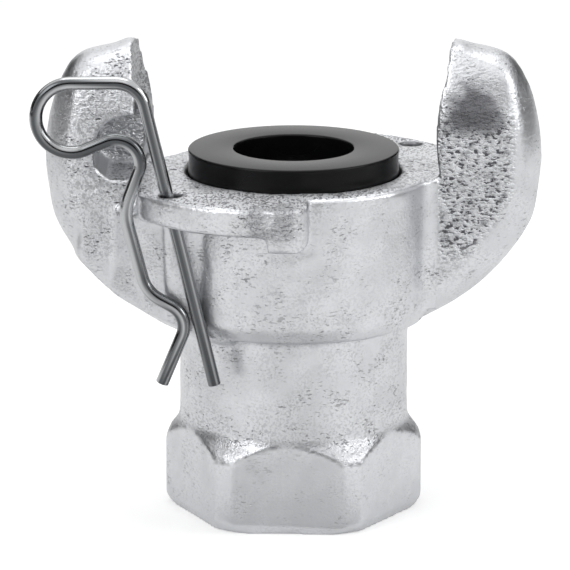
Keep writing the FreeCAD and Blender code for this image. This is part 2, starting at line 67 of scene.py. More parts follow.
MM = 0.001
FACE = MOUNTS["claws"]["pos_m"][2]                          # height of the face round the washer
THREAD_RADIUS = MOUNTS["pipe_thread"]["dims"]["r_mm"] * MM  # mean radius of the pipe thread
CLIP_HOLE = Vector(frame["joints"][0]["pos_m"])             # middle of the hole in the front ledge
CLIP_UP = Vector(frame["joints"][0]["axis"])                # along the clip's straight leg
CASTING_BODY = "coupling"
CLIP_BODY = "clip"

# The clip's wire from the lower end of its straight leg, in millimetres and degrees: run, then bend
# (left is positive) and the bend's radius. The last run is the tail.
CLIP_BENDS = [(40.3, 77, 4.0), (6.0, 202, 4.8), (3.1, -133, 3.3), (3.8, 35, 6.3), (7.7, 47, 4.9),
              (1.7, -84, 3.4)]
CLIP_TAIL = 7.3
WIRE_RIM = 0.15 * MM            # rolled rim at the wire's two ends
WIRE_SIDES = 24
STREAK_LENGTH = 14 * MM         # typical length of a dark line along the wire
# Seed that lays the darkest streak along the wire's front, a painted dark reflection.
STREAK_SEED = 297

MACHINED_RADIUS = 14.95 * MM    # inside this the casting is turned, so it carries no cast grain
SAME_PLACE = 1e-6               # points closer together than this are merged
FLARE_TOP = 14.0                # end face up to where the hexagon's flare meets the neck, in mm
CLAW_TIP = (23.1, -3.0, 66.6)   # flash at a claw's tip, in mm: outwards, along the claw, up
FLASH_SIZE = 1.1 * MM
DOME_MIDDLE = (24.7, 8.3)       # dark dome on a claw's closed end, in mm: outwards, above the face
DOME_SIZE = (4.6, 6.6)
THREAD_START = 0.4 * MM         # end face up to the thread's first turn
THREAD_BACK = 0.45 * MM         # thickness behind the thread's roots
THREAD_COVER = 0.2 * MM         # from the roots out to the casting's own wall
THREAD_TAPER = 1 / 32           # radius lost for each length of thread
THREAD_STEPS = 120              # steps in a turn
WASHER_ROWS = 160

ZINC = "zinc plated iron"
BRIGHT_ROUGHNESS, DULL_ROUGHNESS = 0.29, 0.55
CLOUD_SHADE = 0.11              # how much the broad patches darken the plating
# Noise cells to a metre in the cast skin's shading.
GRAIN_SCALE, LUMP_SCALE, FLECK_SCALE, CLUSTER_SCALE, CLOUD_SCALE = 2900, 2400, 3500, 300, 180

PHOTO_PIXELS = 570
PIXELS_PER_METRE = 7140         # at the distance of the photo's middle
PHOTO_MIDDLE = Vector((-1.2 * MM, 0, 31.7 * MM))
SKY_LIGHT, SKY_SEEN = 0.45, 1.0              # strength of the surroundings: as light, as seen
FLOOR_IN_METAL, FLOOR_TO_CAMERA = 0.17, 0.2  # how much the floor shines


class CastingLook(bpy.types.PropertyGroup):
    """Sizes and colours of the cast body."""

    mesh_size: FloatProperty(
        name="Mesh Size", description="Side of the faces that carry the cast surface",
        default=0.43 * MM, min=0.2 * MM, unit="LENGTH", precision=5)
    rounding: IntProperty(
        name="Rounding", description="Softening steps that take the edge off every corner",
        default=4, min=0, max=20)
    swell: FloatProperty(
        name="Swell", description="Height of the broad waves left by the mould",
        default=0.10 * MM, unit="LENGTH", precision=5)
    grain: FloatProperty(
        name="Grain", description="Height of the sand grain",
        default=0.05 * MM, unit="LENGTH", precision=5)
    pit_depth: FloatProperty(
        name="Pit Depth", description="Depth of the pits on the claws' closed ends",
        default=0.32 * MM, unit="LENGTH", precision=5)
    skin_depth: FloatProperty(
        name="Skin Depth", description="Depth of the fine cast skin in the shading",
        default=0.28 * MM, unit="LENGTH", precision=5)
    arm_swell: FloatProperty(
        name="Arm Swell", description="How far the arms' lower outer sides stand out",
        default=0.65 * MM, unit="LENGTH", precision=5)
    throat_lean: FloatProperty(
        name="Throat Lean", description="How far the claws' inner sides lean over at the closed end",
        default=0.75 * MM, unit="LENGTH", precision=5)
    edge_wear: FloatProperty(
        name="Edge Wear", description="How far the hexagon's lower edge is drawn in",
        default=0.7 * MM, unit="LENGTH", precision=5)
    rim_fill: FloatProperty(
        name="Rim Fill", description="Height that sharpens the rims of the face and the ledges",
        default=0.18 * MM, unit="LENGTH", precision=5)
    flash: FloatProperty(
        name="Flash", description="Height of the nub of flash at each claw's tip",
        default=0.3 * MM, unit="LENGTH", precision=5)
    zinc: FloatVectorProperty(
        name="Zinc", description="Colour of the plating where it is bright",
        subtype="COLOR", size=3, default=(0.70, 0.71, 0.73), min=0, max=1)
    # This colour is the plating's own dark specks, flecks and patches, and also painted shade in pits, grooves,
    # clip holes and inner corners and just under the ledges' rims.
    tarnish_and_shade: FloatVectorProperty(
        name="Tarnish", description="Colour of the plating down in the pits",
        subtype="COLOR", size=3, default=(0.11, 0.11, 0.12), min=0, max=1)


class ThreadLook(bpy.types.PropertyGroup):
    """Sizes of the pipe thread in the socket."""

    pitch: FloatProperty(
        name="Pitch", description="Rise of the thread in one turn",
        default=25.4 / 14 * MM, unit="LENGTH", precision=5)
    depth: FloatProperty(
        name="Depth", description="Height of the thread from root to crest",
        default=1.3 * MM, unit="LENGTH", precision=5)
    length: FloatProperty(
        name="Length", description="How deep the thread goes into the socket",
        default=17.5 * MM, unit="LENGTH", precision=5)


class WasherLook(bpy.types.PropertyGroup):
    """Sizes and colour of the sealing washer."""

    outer_radius: FloatProperty(
        name="Outer Radius", description="Radius in the recess of the face",
        default=14.7 * MM, unit="LENGTH", precision=5)
    hole_radius: FloatProperty(
        name="Hole Radius", description="Radius of the passage through the washer",
        default=8.35 * MM, unit="LENGTH", precision=5)
    edge: FloatProperty(
        name="Edge", description="Rounding of the two top edges",
        default=0.3 * MM, unit="LENGTH", precision=5)
    waist: FloatProperty(
        name="Waist", description="How far the side above the face is drawn in",
        default=0.12 * MM, unit="LENGTH", precision=5)
    rubber: FloatVectorProperty(
        name="Rubber", description="Colour of the rubber",
        subtype="COLOR", size=3, default=(0.004, 0.004, 0.0043), min=0, max=1)


class ClipLook(bpy.types.PropertyGroup):
    """Sizes and colour of the wire clip."""

    wire: FloatProperty(
        name="Wire", description="Thickness of the wire",
        default=1.8 * MM, unit="LENGTH", precision=5)
    leg_below: FloatProperty(
        name="Leg Below", description="From the middle of the ledge down to the leg's end",
        default=25.4 * MM, unit="LENGTH", precision=5)
    steel: FloatVectorProperty(
        name="Steel", description="Colour of the polished wire",
        subtype="COLOR", size=3, default=(0.49, 0.50, 0.51), min=0, max=1)
    # Painted dark reflection: dark lines along the wire, laid out like a drawing die's marks.
    streaks: FloatVectorProperty(
        name="Streaks", description="Dark lines that the drawing die left along the wire",
        subtype="COLOR", size=3, default=(0.09, 0.095, 0.10), min=0, max=1)


class StageLook(bpy.types.PropertyGroup):
    """Camera, lamps and floor."""

    distance: FloatProperty(
        name="Camera Distance", description="From the camera to the middle of the coupling",
        default=0.65, unit="LENGTH")
    elevation: FloatProperty(
        name="Camera Elevation", description="Height of the camera above the horizon",
        default=math.radians(14.3), subtype="ANGLE")
    lamp_power: FloatProperty(
        name="Lamp Power", description="Power of the main lamp", default=1.3, unit="POWER")


# Surfaces


def grid_faces(rows, columns, closed_rows):
    """Corner numbers of the quads between neighbouring points of a grid whose rows are loops."""
    r = np.arange(rows if closed_rows else rows - 1)
    r, c = np.meshgrid(r, np.arange(columns), indexing="ij")
    after_r, after_c = (r + 1) % rows, (c + 1) % columns
    quads = np.stack([r * columns + c, r * columns + after_c,
                      after_r * columns + after_c, after_r * columns + c], axis=-1)
    return quads.reshape(-1, 4)


def mesh_object(name, points, quads):
    """Puts whole arrays of points and quads into a new mesh, shaded smooth."""
    mesh = bpy.data.meshes.new(name)
    mesh.vertices.add(len(points))
    mesh.vertices.foreach_set("co", points.astype(np.float32).ravel())
    mesh.loops.add(quads.size)
    mesh.loops.foreach_set("vertex_index", quads.astype(np.int32).ravel())
    mesh.polygons.add(len(quads))
    mesh.polygons.foreach_set("loop_start", np.arange(0, quads.size, 4, dtype=np.int32))
    mesh.update(calc_edges=True)
    mesh.validate()
    mesh.shade_smooth()
    thing = bpy.data.objects.new(name, mesh)
    bpy.context.scene.collection.objects.link(thing)
    return thing


def arc(centre, radius, start, end, steps):
    """Points of an arc: centre + radius * (cos a, sin a), with a from start to end in degrees."""
    angle = np.radians(np.linspace(start, end, steps))
    return np.stack([centre[0] + radius * np.cos(angle), centre[1] + radius * np.sin(angle)], axis=1)


def turned_surface(name, radius, height):
    """Closed surface round Z from two arrays with one row for each angle.

    Point (i, j) is (r_ij cos a_i, r_ij sin a_i, z_ij) with a_i = 2 pi i / rows. A row is a closed
    profile that runs anticlockwise in the (radius, height) plane, so that faces point outwards.
    """
    angle = np.linspace(0, 2 * np.pi, len(radius), endpoint=False)[:, None]
    points = np.stack([radius * np.cos(angle), radius * np.sin(angle), height], axis=-1)
    quads = grid_faces(*radius.shape, True)[:, ::-1]
    return mesh_object(name, points.reshape(-1, 3), quads)


def wire_surface(name, centre, along, side, radius, columns):
    """Round wire along a flat path.

    Point (i, j) is c_i + r_i (cos b_j n_i + sin b_j s), where n_i = s x t_i is the normal in the
    path's plane, s the plane's own normal, t_i the direction of the wire and b_j = 2 pi j /
    columns. Rows with radius 0 close the two ends.
    """
    turn = np.linspace(0, 2 * np.pi, columns, endpoint=False)[None, :, None]
    across = np.cross(side, along)[:, None, :]
    ring = np.cos(turn) * across + np.sin(turn) * side
    points = centre[:, None, :] + radius[:, None, None] * ring
    thing = mesh_object(name, points.reshape(-1, 3), grid_faces(len(centre), columns, False))
    set_attribute(thing.data, "streak", painted_reflection_streaks(centre, columns))
    weld(thing.data)
    return thing


def painted_reflection_streaks(centre, columns):
    """Streaks of 0 to 1, a painted dark reflection laid out like die lines: noise round the wire, slow along it.

    The noise is read at (r cos b, r sin b, l), where b is the angle round the wire, l the length
    along it in streak lengths, and r sets how many streaks lie side by side.
    """
    spread = 1.6
    length = np.cumsum(np.linalg.norm(np.diff(centre, axis=0, prepend=centre[:1]), axis=1))
    turn = np.linspace(0, 2 * np.pi, columns, endpoint=False)
    length, turn = np.meshgrid(length / STREAK_LENGTH, turn, indexing="ij")
    place = np.stack([spread * np.cos(turn), spread * np.sin(turn), length], axis=-1)
    return smooth_step(-0.3, 0.35, lattice_noise(place.reshape(-1, 3), 1.0, STREAK_SEED))


def set_attribute(mesh, name, values):
    """Stores one number for each point, for the material to read."""
    mesh.attributes.new(name, "FLOAT", "POINT").data.foreach_set("value", values.astype(np.float32))


def weld(mesh):
    """Merges points that lie in the same place."""
    made = bmesh.new()
    made.from_mesh(mesh)
    bmesh.ops.remove_doubles(made, verts=made.verts, dist=SAME_PLACE)
    made.to_mesh(mesh)
    made.free()
    mesh.update()


def random_share(corner, seed):
    """Random number between 0 and 1 for each lattice corner, mixed from its whole numbers."""
    x, y, z = corner.T
    mixed = (x * 73856093) ^ (y * 19349663) ^ (z * 83492791) ^ (seed * 2654435761)
    mixed = (mixed ^ (mixed >> 13)) * 1274126177 & 0x7FFFFFFF
    mixed = (mixed ^ (mixed >> 15)) * 97 & 0xFFFF
    return mixed / 0xFFFF


def lattice_noise(points, cell, seed):
    """Smooth noise of about -1 to 1 with bumps of the given size.

    Each corner of a lattice of cubes has a random slope. Inside a cube, the eight corners' planes
    are blended by 3 f^2 - 2 f^3 of each fraction f, which has no blocks along the lattice.
    """
    scaled = points / cell
    base = np.floor(scaled).astype(np.int64)
    fraction = scaled - base
    blend = fraction * fraction * (3 - 2 * fraction)
    total = np.zeros(len(points))
    for corner in np.ndindex(2, 2, 2):
        shares = [random_share(base + corner, 3 * seed + axis) for axis in range(3)]
        slope = np.stack(shares, axis=1) * 2 - 1
        plane = np.sum(slope * (fraction - corner), axis=1)
        total += np.prod(np.where(np.array(corner) == 1, blend, 1 - blend), axis=1) * plane
    return 1.8 * total


def smooth_step(low, high, amount):
    """0 below low, 1 above high, and 3 t^2 - 2 t^3 between them."""
    t = np.clip((amount - low) / (high - low), 0, 1)
    return t * t * (3 - 2 * t)


def rises(length, low, high):
    """Smooth step from 0 at low to 1 at high, both in millimetres."""
    return smooth_step(low * MM, high * MM, length)


def falls(length, low, high):
    """Smooth step from 1 at low to 0 at high, both in millimetres."""
    return 1 - rises(length, low, high)


# Materials


def shader_group(name, inputs, outputs):
    """New shader node group with the given sockets, and its two end nodes."""
    group = bpy.data.node_groups.new(name, "ShaderNodeTree")
    for label, kind, default in inputs:
        socket = group.interface.new_socket(label, in_out="INPUT", socket_type=kind)
        socket.default_value = default
    for label, kind in outputs:
        group.interface.new_socket(label, in_out="OUTPUT", socket_type=kind)
    return group, group.nodes.new("NodeGroupInput"), group.nodes.new("NodeGroupOutput")


def math_node(tree, operation, *inputs):
    """Result of a math node that is fed by numbers or by other nodes' outputs."""
    node = tree.nodes.new("ShaderNodeMath")
    node.operation = operation
    for socket, entry in zip(node.inputs, inputs):
        if isinstance(entry, (int, float)):
            socket.default_value = entry
        else:
            tree.links.new(entry, socket)
    return node.outputs["Value"]


def noise_node(group, scale, detail, roughness, stretch=(1, 1, 1)):
    """Noise on Object coordinates, with its bumps stretched along each axis."""
    place = group.nodes.new("ShaderNodeTexCoord")
    mapping = group.nodes.new("ShaderNodeMapping")
    mapping.inputs["Scale"].default_value = [1 / share for share in stretch]
    noise = group.nodes.new("ShaderNodeTexNoise")
    noise.inputs["Scale"].default_value = scale
    noise.inputs["Detail"].default_value = detail
    noise.inputs["Roughness"].default_value = roughness
    group.links.new(place.outputs["Object"], mapping.inputs["Vector"])
    group.links.new(mapping.outputs["Vector"], noise.inputs["Vector"])
    return noise.outputs["Fac"]


def step_node(group, low, high, amount):
    """Smooth step from 0 at low to 1 at high."""
    node = group.nodes.new("ShaderNodeMapRange")
    node.interpolation_type = "SMOOTHSTEP"
    node.inputs["From Min"].default_value = low
    node.inputs["From Max"].default_value = high
    group.links.new(amount, node.inputs["Value"])
    return node.outputs["Result"]


def cast_surface_group():
    """Sand-cast skin: fine grain drawn out along Y, lumps with pits between them, and flecks.

    Coarse and Pitted say how grainy and how pitted the skin is at a place. Dark is the largest of
    the grain's specks, the flecks and the pits, Cloud a mask of broad patches, and Normal carries
    the grain, the lumps and the flecks.
    """
    group, entry, leave = shader_group(
        "Cast Surface",
        [("Coarse", "NodeSocketFloat", 0.3), ("Pitted", "NodeSocketFloat", 0.0),
         ("Depth", "NodeSocketFloat", 0.0003)],
        [("Dark", "NodeSocketFloat"), ("Cloud", "NodeSocketFloat"), ("Normal", "NodeSocketVector")])
    coarse, pitted = entry.outputs["Coarse"], entry.outputs["Pitted"]
    grain = noise_node(group, GRAIN_SCALE, 2, 0.6, stretch=(1, 2.2, 1))
    speck = math_node(group, "MULTIPLY", coarse, step_node(group, 0.49, 0.57, grain))
    # Flecks are thin and lie level; a second noise gathers them in clusters.
    level = noise_node(group, FLECK_SCALE, 2, 0.55, stretch=(2.4, 2.4, 1))
    gathered = noise_node(group, CLUSTER_SCALE, 2, 0.5)
    picked = math_node(group, "ADD", level, math_node(group, "MULTIPLY", 0.5, gathered))
    fleck = math_node(group, "MULTIPLY", step_node(group, 0.88, 0.95, picked),
                      step_node(group, -0.1, 0.55, coarse))
    # Lumps stand up where the skin is pitted, and the pits lie between them, dark with painted shade.
    lump = noise_node(group, LUMP_SCALE, 2, 0.55, stretch=(1.9, 1.9, 1))
    raised = step_node(group, 0.38, 0.62, lump)
    pit = math_node(group, "MULTIPLY", pitted, math_node(
        group, "SUBTRACT", 1, step_node(group, 0.38, 0.46, lump)))
    dark = math_node(group, "MAXIMUM", math_node(group, "MULTIPLY", speck, 0.8),
                     math_node(group, "MAXIMUM", fleck, pit))
    group.links.new(dark, leave.inputs["Dark"])
    cloud = step_node(group, 0.40, 0.62, noise_node(group, CLOUD_SCALE, 4, 0.6))
    group.links.new(cloud, leave.inputs["Cloud"])
    fine = math_node(group, "MULTIPLY", grain, math_node(
        group, "ADD", 0.06, math_node(group, "MULTIPLY", coarse, 0.7)))
    lumpy = math_node(group, "MULTIPLY", raised, pitted)
    height = math_node(group, "SUBTRACT", math_node(group, "ADD", fine, lumpy),
                       math_node(group, "MULTIPLY", fleck, 0.2))
    bump = group.nodes.new("ShaderNodeBump")
    group.links.new(entry.outputs["Depth"], bump.inputs["Distance"])
    group.links.new(height, bump.inputs["Height"])
    group.links.new(bump.outputs["Normal"], leave.inputs["Normal"])
    return group


def plain_material(name, colour, roughness, metallic):
    """New material with one colour all over, and its Principled shader."""
    material = bpy.data.materials.new(name)
    material.use_nodes = True
    surface = material.node_tree.nodes["Principled BSDF"]
    surface.inputs["Base Color"].default_value = (*colour, 1)
    surface.inputs["Roughness"].default_value = roughness
    surface.inputs["Metallic"].default_value = metallic
    return material, surface


def attribute(tree, name):
    """What a piece's mesh stores under the name, for each point."""
    node = tree.nodes.new("ShaderNodeAttribute")
    node.attribute_name = name
    return node.outputs["Fac"]


def mixed_colour(tree, share, first, second):
    """The first colour where the share is 0 and the second where it is 1."""
    colour = tree.nodes.new("ShaderNodeMix")
    colour.data_type = "RGBA"
    # A and B exist once for each kind of data, so the ones for colours are picked by number.
    colour.inputs[6].default_value = (*first, 1)
    colour.inputs[7].default_value = (*second, 1)
    tree.links.new(share, colour.inputs["Factor"])
    return colour.outputs[2]


def zinc_material(look):
    """Zinc plating on cast iron: dark and dull where the relief attribute and the skin say so."""
    material, surface = plain_material(ZINC, look.zinc, 0.3, 1.0)
    tree = material.node_tree
    skin = tree.nodes.new("ShaderNodeGroup")
    skin.node_tree = cast_surface_group()
    skin.inputs["Depth"].default_value = look.skin_depth
    coarse, pitted, relief = (attribute(tree, name) for name in ("coarse", "pitted", "relief"))
    tree.links.new(coarse, skin.inputs["Coarse"])
    tree.links.new(pitted, skin.inputs["Pitted"])
    tree.links.new(skin.outputs["Normal"], surface.inputs["Normal"])
    dark = math_node(tree, "MAXIMUM", relief, skin.outputs["Dark"])
    clouded = math_node(tree, "MULTIPLY", skin.outputs["Cloud"], CLOUD_SHADE)
    shade = math_node(tree, "MAXIMUM", dark, clouded)
    # The dark colour is partly painted shade: in pits, grooves, holes, inner corners and under rims.
    tree.links.new(mixed_colour(tree, shade, look.zinc, look.tarnish_and_shade), surface.inputs["Base Color"])
    rough = tree.nodes.new("ShaderNodeMapRange")
    rough.inputs["To Min"].default_value = BRIGHT_ROUGHNESS
    rough.inputs["To Max"].default_value = DULL_ROUGHNESS
    tree.links.new(math_node(tree, "MAXIMUM", shade, coarse), rough.inputs["Value"])
    tree.links.new(rough.outputs["Result"], surface.inputs["Roughness"])
    return material


# Pieces


def remeshed_copy(node, name, voxel_size):
    """Copy of a CAD node's mesh, merged and made anew from cubes of the given size."""
    mesh = frame["nodes"][node].data.copy()
    mesh.name = name
    weld(mesh)
    mesh.materials.clear()
    source = bpy.data.objects.new(name, mesh)
    bpy.context.scene.collection.objects.link(source)
    modifier = source.modifiers.new("Remesh", "REMESH")
    modifier.mode = "VOXEL"
    modifier.voxel_size = voxel_size
    evaluated = source.evaluated_get(bpy.context.evaluated_depsgraph_get())
    final = bpy.data.meshes.new_from_object(evaluated)
    source.modifiers.clear()
    source.data = final
    bpy.data.meshes.remove(mesh)
    final.name = name
    final.shade_smooth()
    return source


def point_values(mesh, key):
    """Three numbers for each point of a mesh: its place (co) or its normal."""
    values = np.empty(len(mesh.vertices) * 3, np.float32)
    mesh.vertices.foreach_get(key, values)
    return values.reshape(-1, 3).astype(float)


def move_points(mesh, points):
    """Puts a mesh's points at new places."""
    mesh.vertices.foreach_set("co", points.astype(np.float32).ravel())
    mesh.update()


def mesh_edges(mesh):
    """The numbers of the two points that each edge joins."""
    ends = np.empty(len(mesh.edges) * 2, np.int32)
    mesh.edges.foreach_get("vertices", ends)
    return ends.reshape(-1, 2)


def towards_neighbours(points, edges):
    """From each point to the middle of the points that its edges lead to."""
    start, end = edges.T
    count = len(points)
    total = np.stack([np.bincount(start, points[end, axis], count)
                      + np.bincount(end, points[start, axis], count) for axis in range(3)], axis=1)
    return total / np.bincount(edges.ravel(), minlength=count)[:, None] - points


def scaled_across(points, scale):
    """Points moved straight away from the thread axis, to scale times their radius."""
    return points * np.stack([scale, scale, np.ones_like(scale)], axis=1)


def widen_socket(points, thread):
    """Moves the socket's wall out to behind the thread's roots: r becomes at least that radius."""
    radius = np.hypot(points[:, 0], points[:, 1])
    roots = THREAD_RADIUS + thread.depth / 2 + THREAD_COVER
    wall = (points[:, 2] < thread.length) & (radius < roots)
    return scaled_across(points, np.where(wall, roots / radius, 1.0))


def draw_in_lower_edge(points, amount):
    """Draws the hexagon's lower edge in towards the axis, where the real one is worn round."""
    radius = np.hypot(points[:, 0], points[:, 1])
    share = falls(points[:, 2], 0, 1.8) * rises(radius, 12.5, 15.5)
    return scaled_across(points, 1 - amount * share / np.maximum(radius, 1 * MM))


def lean_throats(points, amount):
    """Leans the inner side of each claw towards the axis, halfway up at its closed end."""
    x, y, z = points.T
    out, above, along = np.abs(x), z - FACE, y * np.sign(x)
    share = rises(above, -2, 6) * falls(above, 9, 15) * rises(-along, -1, 6)
    share *= rises(out, 17, 19) * falls(out, 19, 25)
    return points - (amount * share * np.sign(x))[:, None] * (1, 0, 0)


def softness(points, look):
    """Shares and numbers of the softening steps: first everywhere, then on the claws' backs.

    The hexagon, the grooves and the ledges stay crisper than the rest.
    """
    x, y, z = np.abs(points.T)
    above = z - FACE
    hexagon = falls(z, FLARE_TOP + 1, FLARE_TOP + 3)
    groove = rises(x, 20, 21) * falls(x, 28, 29) * rises(above, -1, 0) * falls(above, 9, 10)
    ledge = rises(y, 20, 21) * rises(above, -7, -6)
    crisp = np.maximum.reduce([hexagon, groove, ledge])
    back = rises(x, 27, 30) * rises(above, -12, -6)
    return [(0.5 - 0.32 * crisp, look.rounding), (0.5 * back, 3 * look.rounding)]


class Skin:
    """Places, directions and noises of the casting's points, which its regions share.

    Hollow is large in inner corners and below zero on edges. Along runs along a claw, from its
    closed end, which is negative, to its open one. Reach is how far out the pits go on a claw:
    below the face it comes in with the arm's slope.
    """

    def __init__(self, points, normals, hollow):
        self.normals, self.hollow = normals, hollow
        self.x, self.y, self.z = points.T
        self.up = normals[:, 2]
        self.out = np.abs(self.x)
        self.above = self.z - FACE
        self.radius = np.hypot(self.x, self.y)
        self.along = self.y * np.sign(self.x)
        self.reach = 31 * MM - 0.65 * np.maximum(-2 * MM - self.above, 0)
        wander = np.stack([lattice_noise(points, 1.6 * MM, seed) for seed in (11, 12, 13)], axis=1)
        bent = (points + 0.5 * MM * wander) * (0.6, 1, 1)
        self.broad = lattice_noise(points, 5 * MM, 1)
        self.patchy = lattice_noise(points, 3 * MM, 6)
        self.fine = 0.6 * lattice_noise(points, 1.5 * MM, 2) + 0.4 * lattice_noise(points, 0.9 * MM, 3)
        self.holes = 0.7 * lattice_noise(bent, 0.8 * MM, 4) + 0.3 * lattice_noise(bent, 1.6 * MM, 5)


def claw_ends(skin):
    """Shares of the claws' closed ends, of their open ends, and of the dense pits on the former."""
    end = smooth_step(0.72, 0.93, np.abs(skin.normals[:, 1]))
    end *= rises(skin.out, 19.6, 20.4) * rises(skin.above, -14, -8)
    closed, opened = end * (skin.along < 0), end * (skin.along > 0)
    dense = closed * rises(skin.reach - skin.out, 0, 2) * falls(skin.above, 8, 11)
    return closed, opened, dense


def claw_hollows(skin, closed):
    """Shares of the grooves, of the grainy inner sides, and of the dark dome over the pits."""
    # The groove's share darkens its inside: painted shade in the recess.
    groove = rises(skin.along, -4.4, -3.6) * falls(skin.along, 6.2, 7)
    groove *= (skin.above > 0.3 * MM) * (skin.above < 9.3 * MM)
    groove *= (skin.out > 20.5 * MM) * (skin.out < 27.7 * MM)
    inward = -(skin.x * skin.normals[:, 0] + skin.y * skin.normals[:, 1]) / skin.radius
    throat = smooth_step(0.6, 0.9, inward) * (skin.above > 9 * MM)
    from_middle = np.hypot(*[(place - middle * MM) / (size * MM) for place, middle, size
                             in zip((skin.out, skin.above), DOME_MIDDLE, DOME_SIZE)])
    dome = closed * (1 - smooth_step(0.5, 1.15, from_middle + 0.25 * skin.fine))
    return groove, throat, dome * rises(skin.above, 5, 8)


def hexagon_places(skin):
    """Shares of the hexagon's flats, of its flare, and of a dark line along the flare's convex edge."""
    upwards = smooth_step(0.12, 0.4, skin.up)
    flat = falls(skin.z, FLARE_TOP - 1.5, FLARE_TOP) * (1 - upwards)
    below_neck = falls(skin.z, FLARE_TOP, FLARE_TOP + 1)
    flare_edge_line = 4 * upwards * (1 - upwards) * rises(skin.z, 7, 9) * below_neck
    flare_edge_line *= smooth_step(-0.2, 0.3, skin.fine + 0.5 * skin.patchy)
    flare_edge_line *= 1 - smooth_step(-0.03, 0.0, skin.hollow)
    return flat, upwards * below_neck, flare_edge_line


def ledge_places(skin):
    """Shares of the pitted lip near each ledge's free end, and of the walls of the clip holes."""
    onwards = -skin.x * np.sign(skin.y)
    # The lip is pitted and also darkened: the dark is painted shadow just under the ledge's rim.
    lip = (skin.radius > 20.6 * MM) * (np.abs(skin.y) > 15 * MM) * (skin.above < 0.2 * MM)
    lip = lip * rises(skin.above, -5, -3) * rises(onwards, -9, -5) * falls(onwards, -1, 1.5)
    lip *= smooth_step(-0.4, 0.2, skin.patchy)
    # The clip holes' walls are darkened: painted shade inside the holes.
    bore = np.hypot(skin.out - abs(CLIP_HOLE.x), np.abs(skin.y) - abs(CLIP_HOLE.y)) < 2 * MM
    bore = bore * (skin.x * skin.y > 0) * (skin.above > -4.2 * MM)
    return lip, bore * (1 - smooth_step(0.88, 0.97, np.abs(skin.up)))


def arm_fullness(skin):
    """How much fuller than the solids the arms' lower outer sides are, as a share."""
    outward = np.clip(np.sign(skin.x) * skin.normals[:, 0], 0, 1)
    outer = rises(skin.out - skin.reach, -1, 4)
    return outward * outer * rises(skin.above, -24, -19) * falls(skin.above, -7, -1)


def tip_flash(skin):
    """Share of the nub at each claw's tip: exp(-d^2), with d the distance in sizes of the nub."""
    out, along, up = CLAW_TIP
    aside = 0.4 * (skin.along - along * MM)
    distance = np.hypot(skin.out - out * MM, skin.z - up * MM) ** 2 + aside ** 2
    return np.exp(-distance / FLASH_SIZE ** 2)


def cast_relief(points, normals, hollow, look):
    """Height of the cast surface over the smooth one, and how dark, coarse and pitted it is.

    Height is swell * broad noise + grain * fine noise - pit depth * pits, where pits are where a
    noise that is drawn out along X passes a threshold, and a few places stand out more.
    """
    skin = Skin(points, normals, hollow)
    closed, opened, dense = claw_ends(skin)
    groove, throat, dome = claw_hollows(skin, closed)
    flat, flare, flare_edge_line = hexagon_places(skin)
    lip, bore = ledge_places(skin)
    level = smooth_step(0.85, 0.97, skin.up)
    face = level * (np.abs(skin.above) < 1 * MM) * (0.5 + 0.5 * rises(np.abs(skin.y), 12, 17))
    rim = smooth_step(0.25, 0.5, skin.up) * (1 - level)
    rim *= (np.abs(skin.above) < 1.5 * MM) * (skin.radius > 19 * MM)
    foot = rises(skin.z, FLARE_TOP - 1.5, FLARE_TOP - 0.5) * falls(skin.z, FLARE_TOP + 1, FLARE_TOP + 4)
    # Inner corners get more grain and, broken up by noise, a darker colour: painted shade in the creases.
    corner = smooth_step(0.05, 0.20, hollow) * smooth_step(-0.3, 0.3, skin.patchy) * (skin.z > 17 * MM)
    # Besides being sunk, the pits are darkened: painted shade down in pits too small for the mesh.
    threshold = 0.75 - 0.6 * dense - 0.2 * opened
    pits = smooth_step(threshold, threshold + 0.35, skin.holes)

    height = look.swell * skin.broad + look.grain * skin.fine * (1 + dense)
    height *= (1 - 0.95 * flat) * (1 - 0.8 * rim)
    height -= look.pit_depth * pits * (0.3 + 0.7 * dense)
    height += look.rim_fill * rim + look.arm_swell * arm_fullness(skin) + look.flash * tip_flash(skin)

    # Much of this dark is painted shade: in the pits, the grooves, the inner corners and the clip holes, and just
    # under the ledges' rims.
    dark = np.maximum.reduce([pits * (0.2 + 0.3 * dense), 0.9 * dome, 0.44 * groove, 0.4 * corner,
                              0.45 * lip, 0.3 * flare, 0.9 * flare_edge_line, 0.75 * bore])

    coarse = 0.21 + 0.84 * face + 0.9 * dome + 0.3 * opened + 0.5 * throat + 0.6 * lip
    coarse += 0.08 * flare + 0.1 * foot + 0.3 * corner + 0.15 * skin.patchy
    coarse = np.clip(coarse, 0, 1) * (1 - 0.5 * flat) * (1 - 0.8 * groove)

    pitted = dense + 0.5 * dome + 0.45 * lip + 0.3 * throat
    pitted += 0.25 * opened * smooth_step(-0.1, 0.3, skin.patchy)
    pitted = np.clip(pitted, 0, 1) * (1 - groove)

    cast = rises(skin.radius - MACHINED_RADIUS, 0, 0.4) * rises(skin.z, -0.1, 0.3)
    return cast * height, cast * dark, cast * coarse, cast * pitted


class COUPLING_OT_casting(bpy.types.Operator):
    """Make the cast body with its mould swell, grain and pits"""

    bl_idname = "coupling.casting"
    bl_label = "Casting"

    def execute(self, context):
        look = context.scene.coupling_casting
        casting = remeshed_copy("coupling_body", "cast_body", look.mesh_size)
        mesh = casting.data
        points, edges = point_values(mesh, "co"), mesh_edges(mesh)
        for share, steps in softness(points, look):
            for _ in range(steps):
                points += share[:, None] * towards_neighbours(points, edges)
        points = widen_socket(points, context.scene.coupling_thread)
        points = lean_throats(points, look.throat_lean)
        points = draw_in_lower_edge(points, look.edge_wear)
        move_points(mesh, points)
        normals = point_values(mesh, "normal")
        hollow = np.sum(towards_neighbours(points, edges) * normals, axis=1) / look.mesh_size
        height, *shares = cast_relief(points, normals, hollow, look)
        move_points(mesh, points + normals * height[:, None])
        for name, share in zip(("relief", "coarse", "pitted"), shares):
            set_attribute(mesh, name, share)
        mesh.materials.append(zinc_material(look))
        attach(casting, CASTING_BODY)
        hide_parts("coupling_body")
        return {"FINISHED"}


